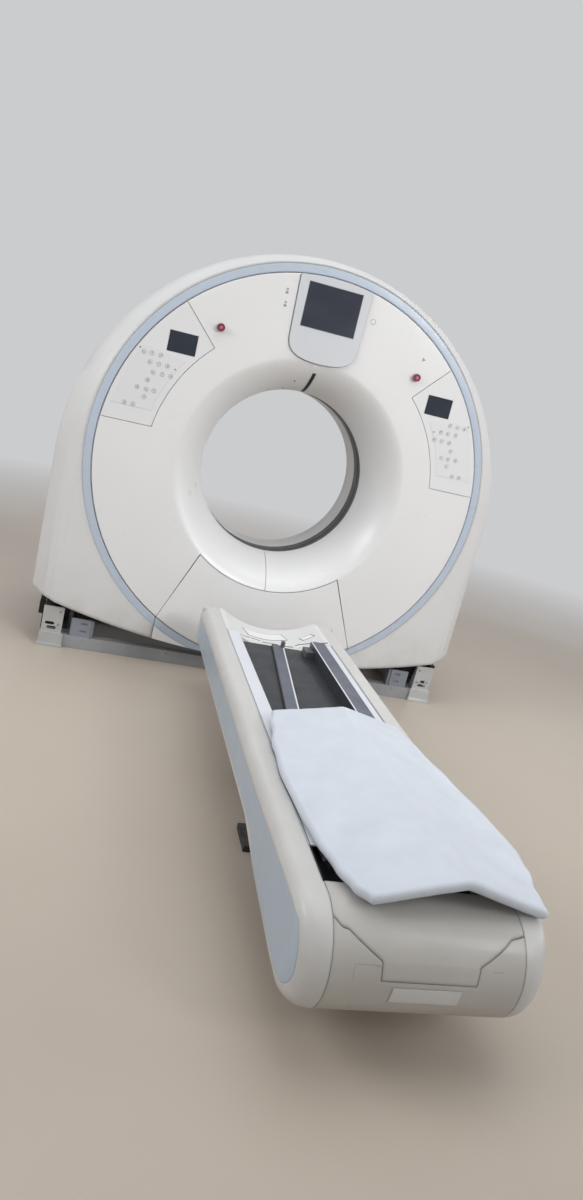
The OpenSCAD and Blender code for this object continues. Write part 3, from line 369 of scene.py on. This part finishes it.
def shade_round(me, limit):
    """Shading normals averaged over faces that meet at less than the limit, so round faces look round."""
    points = np.round(values(me.vertices, "co", 3), 5)
    _, spot = np.unique(points, axis=0, return_inverse=True)
    where = spot.reshape(-1)[values(me.loops, "vertex_index", kind=np.int64)]
    count = values(me.polygons, "loop_total", kind=np.int64)
    face = np.repeat(np.arange(len(count)), count)
    normal = values(me.polygons, "normal", 3)[face]
    size = np.maximum(values(me.polygons, "area")[face], TINY)
    order = np.argsort(where, kind="stable")
    out = normal.copy()
    for group in np.split(order, np.flatnonzero(np.diff(where[order])) + 1):
        n = normal[group]
        total = ((n @ n.T > math.cos(limit)) * size[group]) @ n
        length = np.linalg.norm(total, axis=1, keepdims=True)
        out[group] = np.where(length > TINY, total / np.maximum(length, TINY), n)
    me.polygons.foreach_set("use_smooth", [True] * len(me.polygons))
    me.normals_split_custom_set(out.tolist())


for key, names in USES.items():
    for n in names.split():
        o = NODES[n]
        o.data.materials.clear()
        o.data.materials.append(MATS[key])
        shade_round(o.data, math.radians(31))


# ---------------------------------------------------------------- small pieces
def piece(name, bm, mat, body, smooth=True):
    """Turn a bmesh into a named object that rides on a body."""
    me = bpy.data.meshes.new(name)
    bm.to_mesh(me)
    bm.free()
    for p in me.polygons:
        p.use_smooth = smooth
    o = bpy.data.objects.new(name, me)
    bpy.context.scene.collection.objects.link(o)
    me.materials.append(mat)
    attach(o, body)
    return o


def circle(bm, x, z, y, r, seg):
    """A loop of vertices facing the couch."""
    turns = [2 * math.pi * i / seg for i in range(seg)]
    return [bm.verts.new((x + r * math.cos(a), y, z + r * math.sin(a))) for a in turns]


def bridge(bm, a, b):
    """Faces between two closed loops of the same length."""
    for i in range(len(a)):
        j = (i + 1) % len(a)
        bm.faces.new((a[i], a[j], b[j], b[i]))


def ring(bm, x, z, y, r0, r1, depth, seg=28):
    """A flat ring lying on the front face, standing out towards the couch by depth."""
    loops = [circle(bm, x, z, y - d, r, seg) for r, d in ((r0, 0), (r0, depth), (r1, depth), (r1, 0))]
    for k in range(4):
        bridge(bm, loops[k], loops[(k + 1) % 4])


def disc(bm, x, z, y, r, depth, seg=20, dome=0.0):
    """A round button on the front face, domed if asked."""
    steps = ((r, 0), (r, depth), (r * 0.8, depth + dome * 0.6), (r * 0.4, depth + dome))
    loops = [circle(bm, x, z, y - d, rr, seg) for rr, d in steps]
    for a, b in zip(loops, loops[1:]):
        bridge(bm, a, b)
    bm.faces.new(loops[-1])
    bm.faces.new(loops[0][::-1])


def bar(bm, x, z, y, w, h, depth, turn=0.0):
    """A flat stroke on the front face."""
    c, s = math.cos(turn), math.sin(turn)
    pts = [(-w / 2, -h / 2), (w / 2, -h / 2), (w / 2, h / 2), (-w / 2, h / 2)]
    low = [bm.verts.new((x + a * c - b * s, y, z + a * s + b * c)) for a, b in pts]
    high = [bm.verts.new((x + a * c - b * s, y - depth, z + a * s + b * c)) for a, b in pts]
    bridge(bm, low, high)
    bm.faces.new(high)
    bm.faces.new(low[::-1])


ink = moulded("key_ink", (140, 142, 146), 0.5, 0.1, soft=0.0)
inkdark = moulded("key_ink_dark", (84, 86, 92), 0.5, 0.1, soft=0.0)
# each key from the bore's axis in mm, mirrored for the left panel; every mark is a generic stroke or two
KEYS = [(696, 414), (735, 414), (770, 413), (660, 375), (697, 375), (736, 375), (637, 335), (675, 335),
        (715, 335), (733, 298), (697, 258), (731, 258), (771, 260), (734, 224), (775, 183), (813, 183)]
PANEL_DOTS = ((788, 427), (624, 368))
for side, tag in ((-1, "left"), (1, "right")):
    rings = bmesh.new()
    marks = bmesh.new()
    for i, (kx, kz) in enumerate(KEYS):
        x, z = side * kx / 1000, ISO + kz / 1000
        ring(rings, x, z, KEY_FACE, 0.0078, 0.0092, PRINT)
        turn = i * 2.1 + side
        c, s = math.cos(turn), math.sin(turn)
        bar(marks, x + 0.0015 * c, z + 0.0015 * s, KEY_FACE, 0.0075, 0.0022, PRINT, turn)
        if i % 3 != 1:
            bar(marks, x - 0.002 * s, z + 0.002 * c, KEY_FACE, 0.0022, 0.006, PRINT, turn)
    for kx, kz in PANEL_DOTS:
        disc(marks, side * kx / 1000, ISO + kz / 1000, DISC - 0.0016, 0.003, PRINT)
    piece("key_rings_" + tag, rings, ink, "gantry")
    piece("key_marks_" + tag, marks, inkdark, "gantry", False)

# generic marks beside the monitor and over the right stop button
bm = bmesh.new()
for x, z in ((-0.214, 1.812), (-0.210, 1.757)):
    bar(bm, x, z - 0.006, DISC, 0.013, 0.010, PRINT)
    ring(bm, x, z + 0.008, DISC, 0.0022, 0.0055, PRINT)
ring(bm, 0.201, 1.781, DISC, 0.0105, 0.0125, PRINT)
ring(bm, 0.480, 1.678, DISC, 0.0022, 0.0105, PRINT, 3)
piece("face_icons", bm, ink, "gantry", False)

# a thin dark gasket round the monitor glass: x and z from and to
bm = bmesh.new()
for x0, x1, z0, z1 in ((-0.1262, -0.1240, 1.6865, 1.8785), (0.1240, 0.1262, 1.6865, 1.8785),
                       (-0.1262, 0.1262, 1.8765, 1.8787), (-0.1262, 0.1262, 1.6863, 1.6885)):
    bar(bm, (x0 + x1) / 2, (z0 + z1) / 2, DISC - 0.009, x1 - x0, z1 - z0, 0.0008)
piece("monitor_gasket", bm, inkdark, "gantry", False)

# light middle of each stop button
for x, side in ((-STOP_X, "left"), (STOP_X, "right")):
    bm = bmesh.new()
    disc(bm, x, STOP_Z, DISC - 0.0206, 0.0076, 0.0006, 28, 0.0006)
    piece("stop_face_" + side, bm, moulded("stop_face", (172, 108, 122), 0.35, 0.05, soft=0), side + "_stop")


def screw(bm, x, y, z, r, h, up):
    """A pan-head screw with a socket, standing on a surface."""
    seg = 20
    w = Vector(up).normalized()
    u = w.orthogonal().normalized()
    v = w.cross(u)
    foot = Vector((x, y, z))

    def loop(radius, height):
        turns = [2 * math.pi * i / seg for i in range(seg)]
        return [bm.verts.new(foot + w * height + (u * math.cos(a) + v * math.sin(a)) * radius) for a in turns]
    loops = [loop(r, 0), loop(r, h * 0.7), loop(r * 0.82, h), loop(r * 0.42, h), loop(r * 0.40, h * 0.35)]
    for a, b in zip(loops, loops[1:]):
        bridge(bm, a, b)
    bm.faces.new(loops[-1])
    bm.faces.new(loops[0][::-1])


# screws of the floor frame
bm = bmesh.new()
TO_COUCH = (0, -1, 0)
for side in (-1, 1):
    for z in (0.104, 0.169):
        screw(bm, side * 0.924, BEAM_FACE, z, 0.006, 0.004, TO_COUCH)
for i in range(9):
    screw(bm, -0.8 + i * 0.2, BEAM_FACE, 0.046, 0.005, 0.003, TO_COUCH)
piece("frame_screws", bm, MATS["steel"], "base")


# ---------------------------------------------------------------- the foam mat
MAT_AT = Vector((0.077, -2.656, 0.0))
MAT_TURN = math.radians(2.8)
MAT_LEN, MAT_HALF, MAT_T, MAT_RISE = 0.983, 0.288, 0.028, 0.067
MAT_ACROSS, MAT_ALONG = 96, 150     # steps of the mesh
MAT_SOFT = 0.008                    # radius of the rounded rim
# places along the mat, and how far its edges reach there as a part of MAT_HALF
LEFT = ((0, 0.812), (0.06, 0.905), (0.13, 0.962), (0.26, 1.01), (0.42, 1.035), (0.57, 1.04), (0.76, 0.99),
        (0.9, 0.90), (1, 0.825))
RIGHT = ((0, 0.775), (0.08, 0.825), (0.17, 0.925), (0.27, 0.975), (0.42, 0.955), (0.63, 0.885), (0.83, 0.815),
         (1, 0.745))


def along(table, v):
    """Half width of the mat at v along its length."""
    for (a, p), (b, q) in zip(table, table[1:]):
        if v <= b:
            k = (v - a) / (b - a)
            return MAT_HALF * (p + (q - p) * k * k * (3 - 2 * k))
    return MAT_HALF * table[-1][1]


def mat_height(a, v):
    """Lower face of the mat above the covers at a across and v along."""
    k = math.sqrt(a * a + 0.004 ** 2)
    span = MAT_HALF * (1.0 if a < 0 else 0.745)
    rise = MAT_RISE * (1 - 0.22 * v)
    return max(0.0, rise * (1 - k / span)) + 0.0008


def rounding(distance):
    """How far the rounded rim falls back at this distance from the mat's edge."""
    if distance >= MAT_SOFT:
        return 0.0
    return MAT_SOFT - math.sqrt(max(0.0, MAT_SOFT ** 2 - (MAT_SOFT - distance) ** 2))


def mat_mesh():
    """The folded sheet as one closed skin: soft rim, shallow waves, creases and pulled ends."""
    step = 0.002
    spin = Matrix.Rotation(MAT_TURN, 3, "Z")
    bm = bmesh.new()
    loops = []
    for j in range(MAT_ALONG + 1):
        v = j / MAT_ALONG
        y = v * MAT_LEN
        fall = rounding(min(v, 1 - v) * MAT_LEN)
        a0, a1 = -along(LEFT, v), along(RIGHT, v)
        low, high = [], []
        for i in range(MAT_ACROSS + 1):
            a = a0 + (a1 - a0) * (i / MAT_ACROSS)
            half = MAT_T / 2 - max(fall, rounding(min(a - a0, a1 - a)))
            slope = (mat_height(a + step, v) - mat_height(a - step, v)) / (2 * step)
            up = Vector((-slope, 0, 1)).normalized()
            wave = 0.0011 * noise.noise(Vector((a * 8, y * 6, 2.0)))
            wave += 0.0006 * noise.noise(Vector((a * 34, y * 22, 5.0)))
            crease = 0.0010 * max(0.0, 1 - abs(noise.noise(Vector((a * 4 + y * 2, y * 3 - a, 7.0)))) * 14)
            pull = 0.003 * noise.noise(Vector((a * 5, v * 3, 9.0))) * (abs(2 * v - 1) ** 8)
            mid = Vector((a, y + pull, TOP + 0.0006 + mat_height(a, v) + MAT_T / 2))
            low.append(MAT_AT + spin @ (mid - up * half + Vector((0, 0, max(0.0, wave)))))
            high.append(MAT_AT + spin @ (mid + up * half + Vector((0, 0, wave - crease))))
        loops.append([bm.verts.new(p) for p in low + high[::-1]])
    for a, b in zip(loops, loops[1:]):
        bridge(bm, a, b)
    for loop in (loops[0], loops[-1]):
        for i in range(MAT_ACROSS):
            bm.faces.new((loop[i], loop[i + 1], loop[-2 - i], loop[-1 - i]))
    bmesh.ops.recalc_face_normals(bm, faces=bm.faces)
    return bm


mat = piece("soft_mat", mat_mesh(), MATS["foam"], "couch")
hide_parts("foam_mat")


# ---------------------------------------------------------------- couch trim
def block(bm, x0, x1, y0, y1, z0, z1, turn=0.0, at=(0.0, 0.0)):
    """A box, turned about the upright axis and set down at a place."""
    c, s = math.cos(turn), math.sin(turn)
    vs = []
    for z in (z0, z1):
        for x, y in ((x0, y0), (x1, y0), (x1, y1), (x0, y1)):
            vs.append(bm.verts.new((at[0] + x * c - y * s, at[1] + x * s + y * c, z)))
    for f in ((3, 2, 1, 0), (4, 5, 6, 7), (0, 1, 5, 4), (1, 2, 6, 5), (2, 3, 7, 6), (3, 0, 4, 7)):
        bm.faces.new([vs[i] for i in f])


RAIL_SPAN = (DECK_FOOT + 0.006, DECK_HEAD - 0.006)
LOOSE_SPAN = (-0.99, -0.004)        # the loose rail, measured from its own head
LOOSE_TURN = math.radians(-6.3)
LOOSE_AT = (0.025, DECK_HEAD - 0.008)
ON_DECK = DECK_TOP + 0.0002
# painted highlights: pale lines along the lit edges of both rails
bm = bmesh.new()
block(bm, 0.140, 0.1455, *RAIL_SPAN, RAIL_TOP, RAIL_TOP + 0.0008)
block(bm, 0.201, 0.2056, *RAIL_SPAN, RAIL_TOP, RAIL_TOP + 0.0005)
block(bm, -0.0065, -0.0008, *LOOSE_SPAN, LOOSE_TOP, LOOSE_TOP + 0.0007, LOOSE_TURN, LOOSE_AT)
piece("rail_edge_highlights", bm, moulded("rail_edge_highlight", (214, 217, 222), 0.4, 0.05, soft=0), "couch", False)
# painted shade: the deck's dark film on their shaded left sides and along the loose rail's shadowed top left
# edge
bm = bmesh.new()
block(bm, 0.1393, 0.1399, *RAIL_SPAN, ON_DECK, RAIL_TOP - 0.002)
block(bm, -0.0535, -0.0531, *LOOSE_SPAN, ON_DECK, LOOSE_TOP - 0.0005, LOOSE_TURN, LOOSE_AT)
block(bm, -0.0529, -0.0495, *LOOSE_SPAN, LOOSE_TOP, LOOSE_TOP + 0.0003, LOOSE_TURN, LOOSE_AT)
piece("rail_side_shade", bm, MATS["deck"], "couch", False)

nose = NODES["end_cover_lower"]


def on_nose(x, z):
    """The point of the foot end's face at x and z, found by a ray from 0.469 m ahead of it."""
    into = nose.matrix_world.inverted()
    hit, at, _, _ = nose.ray_cast(into @ Vector((x, NOSE - 0.469, z)),
                                  (into.to_3x3() @ Vector((0, 1, 0))).normalized())
    return nose.matrix_world @ at if hit else Vector((x, NOSE, z))


def nose_patch(bm, x0, x1, z0, z1, depth, nx=12, nz=8):
    """A thin plate that follows the foot end."""
    grid = [[on_nose(x0 + (x1 - x0) * i / nx, z0 + (z1 - z0) * j / nz) for i in range(nx + 1)]
            for j in range(nz + 1)]
    lo = [[bm.verts.new(p + Vector((0, 0.0006, 0))) for p in row] for row in grid]
    hi = [[bm.verts.new(p - Vector((0, depth, 0))) for p in row] for row in grid]
    for j in range(nz):
        for i in range(nx):
            bm.faces.new((hi[j][i], hi[j][i + 1], hi[j + 1][i + 1], hi[j + 1][i]))
            bm.faces.new((lo[j][i], lo[j + 1][i], lo[j + 1][i + 1], lo[j][i + 1]))
    for i in range(nx):
        bm.faces.new((lo[0][i], lo[0][i + 1], hi[0][i + 1], hi[0][i]))
        bm.faces.new((lo[nz][i + 1], lo[nz][i], hi[nz][i], hi[nz][i + 1]))
    for j in range(nz):
        bm.faces.new((lo[j + 1][0], lo[j][0], hi[j][0], hi[j + 1][0]))
        bm.faces.new((lo[j][nx], lo[j + 1][nx], hi[j + 1][nx], hi[j][nx]))


# bare plate on the foot end
bm = bmesh.new()
nose_patch(bm, -0.080, 0.086, 0.210, 0.2515, 0.0012)
piece("end_plate", bm, moulded("plate_film", (206, 206, 204), 0.36, 0.05, soft=0.0008), "couch", False)
# painted shade lines where the foot end has shallow grooves: x and z from and to
bm = bmesh.new()
for x0, x1, z0, z1 in ((-0.181, -0.114, 0.3002, 0.3012), (-0.181, -0.180, 0.262, 0.3002),
                       (-0.160, -0.1588, 0.171, 0.191), (0.152, 0.179, 0.3014, 0.3024)):
    nose_patch(bm, x0, x1, z0, z1, 0.0002, 4, 3)
piece("end_groove_shade", bm, moulded("line_shade", (150, 147, 142), 0.5, 0.05, soft=0), "couch", False)
# small blocks at the heads of the rails
bm = bmesh.new()
block(bm, 0.104, 0.139, -0.872, -0.802, ON_DECK, 0.3740)
block(bm, -0.016, 0.000, -0.026, -0.004, LOOSE_TOP + 0.0008, 0.3800, LOOSE_TURN, LOOSE_AT)
piece("rail_blocks", bm, powder("block_grey", (84, 87, 93), 0.5), "couch", False)


TROUGH_Z, TROUGH_R = 0.733, 0.405   # axis and radius of the trough's round floor


def on_trough(x, y, lift):
    """A point over the trough's round floor."""
    return (x, y, TROUGH_Z - math.sqrt(TROUGH_R ** 2 - x * x) + lift)


def ribbon(bm, points, width, depth):
    """A thin strip laid on the trough along a line of points."""
    line = []
    for (x0, y0), (x1, y1) in zip(points, points[1:]):
        n = max(2, int(math.hypot(x1 - x0, y1 - y0) / 0.006))
        line += [(x0 + (x1 - x0) * i / n, y0 + (y1 - y0) * i / n) for i in range(n)]
    line.append(points[-1])
    rows = []
    for i, (x, y) in enumerate(line):
        (ax, ay), (bx, by) = line[max(0, i - 1)], line[min(len(line) - 1, i + 1)]
        d = math.hypot(bx - ax, by - ay)
        sx, sy = -(by - ay) / d * width / 2, (bx - ax) / d * width / 2
        rows.append([bm.verts.new(on_trough(x + k * sx, y + k * sy, h))
                     for k, h in ((-1, -0.0004), (1, -0.0004), (1, depth), (-1, depth))])
    for a, b in zip(rows, rows[1:]):
        bridge(bm, a, b)
    bm.faces.new(rows[0][::-1])
    bm.faces.new(rows[-1])


# torn edge of the trough's lining: dark gap lines, each a line of points and a width
gap = bmesh.new()
for pts, w in ((((-0.190, -0.768), (-0.146, -0.734), (-0.116, -0.711)), 0.0055),
               (((-0.106, -0.705), (-0.090, -0.700), (-0.064, -0.697)), 0.0075),
               (((-0.052, -0.702), (-0.020, -0.695), (0.022, -0.694)), 0.0045),
               (((0.034, -0.700), (0.058, -0.715), (0.084, -0.722)), 0.0065),
               (((0.098, -0.704), (0.118, -0.697), (0.150, -0.702), (0.176, -0.716)), 0.006),
               (((0.186, -0.722), (0.222, -0.762)), 0.0045)):
    ribbon(gap, pts, w, 0.0009)
ribbon(gap, ((-0.1245, -0.634), (0.069, -0.5915)), 0.081, 0.0004)
ribbon(gap, ((0.1345, -0.639), (0.191, -0.6175)), 0.037, 0.0004)
# dark colour of the lining's gap lines, also used as painted shadow beside the pale strips
gap_dark_and_shadow = moulded("gap_dark_and_shadow", (44, 44, 48), 0.6, 0.1, soft=0)
piece("joint_lines", gap, gap_dark_and_shadow, "couch", False)
# painted shadow lines in the seam beside each pale strip of the deck
bm = bmesh.new()
for x in (-0.2338, 0.2338):
    block(bm, x - 0.0008, x + 0.0008, DECK_FOOT + 0.010, DECK_HEAD - 0.006,
          STRIP_TOP - 0.0002, STRIP_TOP + 0.0005)
piece("strip_seam_shadows", bm, gap_dark_and_shadow, "couch", False)
# pale strips across the torn edge
pale = bmesh.new()
ribbon(pale, ((-0.121, -0.633), (0.066, -0.592)), 0.074, 0.0010)
ribbon(pale, ((0.138, -0.637), (0.187, -0.619)), 0.031, 0.0010)
ribbon(pale, ((-0.184, -0.773), (-0.142, -0.742), (-0.096, -0.712), (-0.072, -0.708)), 0.012, 0.0008)
ribbon(pale, ((0.094, -0.722), (0.116, -0.716), (0.137, -0.722)), 0.022, 0.0008)
piece("joint_strips", pale, moulded("lining_white", (232, 232, 231), 0.45, 0.04, soft=0.0005), "couch", False)

# painted highlight: a light line in the middle of the scan window
bm = bmesh.new()
loops = [circle(bm, 0, ISO, y, r, 240)
         for r, y in ((0.39985, -0.0012), (0.39985, 0.0012), (0.4003, 0.0012), (0.4003, -0.0012))]
for k in range(4):
    bridge(bm, loops[(k + 1) % 4], loops[k])
piece("window_highlight_line", bm, moulded("window_line_highlight", (120, 122, 124), 0.4, 0.05, soft=0), "gantry")

# ---------------------------------------------------------------- stage, light, camera
ROOM = lin((203, 204, 206))


def seen(nodes, links):
    """1 for rays that should meet the pale room instead of the light."""
    path = nodes.new("ShaderNodeLightPath")
    out = path.outputs["Is Camera Ray"]
    for name in ("Is Glossy Ray", "Is Transmission Ray"):
        n = nodes.new("ShaderNodeMath")
        n.operation = "MAXIMUM"
        links.new(out, n.inputs[0])
        links.new(path.outputs[name], n.inputs[1])
        out = n.outputs["Value"]
    return out


bpy.ops.mesh.primitive_plane_add(size=60, location=(0, 0, -0.0005))
floor = bpy.context.object
floor.name = "floor"
t = Tree("floor_vinyl")
speck = t.remap(t.noise(160, 3), 0.60, 0.70)
col = t.mix(t.remap(t.noise(0.8, 3), 0.3, 0.7), lin((183, 171, 158)), lin((189, 178, 165)))
col = t.mix(t.times(speck, 0.10), col, lin((150, 140, 128)))
t.finish(col, 0.42, spec=0.5)
# far from the scanner the floor fades into the pale room
far = t.nodes.new("ShaderNodeVectorMath")
far.operation = "DISTANCE"
far.inputs[1].default_value = (0, -1.2, 0)
t.links.new(t.coord, far.inputs[0])
glow = t.nodes.new("ShaderNodeEmission")
glow.inputs["Color"].default_value = (*ROOM, 1)
join = t.nodes.new("ShaderNodeMixShader")
t.links.new(t.times(seen(t.nodes, t.links), t.remap(far.outputs["Value"], 3.6, 6.6)), join.inputs["Fac"])
t.links.new(t.bsdf.outputs["BSDF"], join.inputs[1])
t.links.new(glow.outputs["Emission"], join.inputs[2])
t.links.new(join.outputs["Shader"], t.nodes["Material Output"].inputs["Surface"])
floor.data.materials.append(t.mat)


def area(name, at, aim, size, watts, rgb=(255, 255, 255), spread=180):
    """A soft rectangular lamp that looks at a point."""
    d = bpy.data.lights.new(name, "AREA")
    d.shape = "RECTANGLE"
    d.size, d.size_y = size
    d.energy = watts
    d.color = lin(rgb)
    d.spread = math.radians(spread)
    o = bpy.data.objects.new(name, d)
    bpy.context.scene.collection.objects.link(o)
    o.location = at
    o.rotation_euler = (Vector(aim) - Vector(at)).to_track_quat("-Z", "Y").to_euler()


area("ceiling", (0.2, -1.2, 5.2), (0.1, -1.1, 0.4), (5.0, 4.0), 96)
area("window_left", (-4.2, -2.0, 3.0), (0, -1.0, 0.6), (2.6, 1.8), 84, (252, 253, 255))
area("window_right", (4.6, -2.6, 2.2), (0.4, -0.6, 0.8), (2.0, 2.0), 38)
area("face_light", (2.6, -4.6, 3.2), (0.15, -0.3, 0.9), (1.8, 1.4), 16, spread=64)
world = bpy.data.worlds.new("room")
bpy.context.scene.world = world
world.use_nodes = True
wn, wl = world.node_tree.nodes, world.node_tree.links
light = wn["Background"]
light.inputs["Color"].default_value = (0.96, 0.98, 1.0, 1)
light.inputs["Strength"].default_value = 0.46
back = wn.new("ShaderNodeBackground")
back.inputs["Color"].default_value = (*ROOM, 1)
back.inputs["Strength"].default_value = 1.0
both = wn.new("ShaderNodeMixShader")
wl.new(seen(wn, wl), both.inputs["Fac"])
wl.new(light.outputs["Background"], both.inputs[1])
wl.new(back.outputs["Background"], both.inputs[2])
wl.new(both.outputs["Shader"], wn["World Output"].inputs["Surface"])

# the camera as solved from the photograph
EYE = (-0.9061, -4.1797, 1.4556)
LENS = 25.49
yaw, pitch, roll = 0.2632, 0.2481, -0.2427
fwd = Vector((math.sin(yaw) * math.cos(pitch), math.cos(yaw) * math.cos(pitch), -math.sin(pitch)))
right = Vector((math.cos(yaw), -math.sin(yaw), 0))
down = fwd.cross(right)
r2 = right * math.cos(roll) + down * math.sin(roll)
d2 = down * math.cos(roll) - right * math.sin(roll)
cam = bpy.data.objects.new("camera", bpy.data.cameras.new("camera"))
bpy.context.scene.collection.objects.link(cam)
cam.data.sensor_width = 36
cam.data.lens = LENS
cam.data.clip_end = 100
rot = Matrix((r2, -d2, -fwd)).transposed()
cam.matrix_world = Matrix.Translation(EYE) @ rot.to_4x4()
bpy.context.scene.camera = cam

bpy.context.scene.view_settings.view_transform = "Standard"
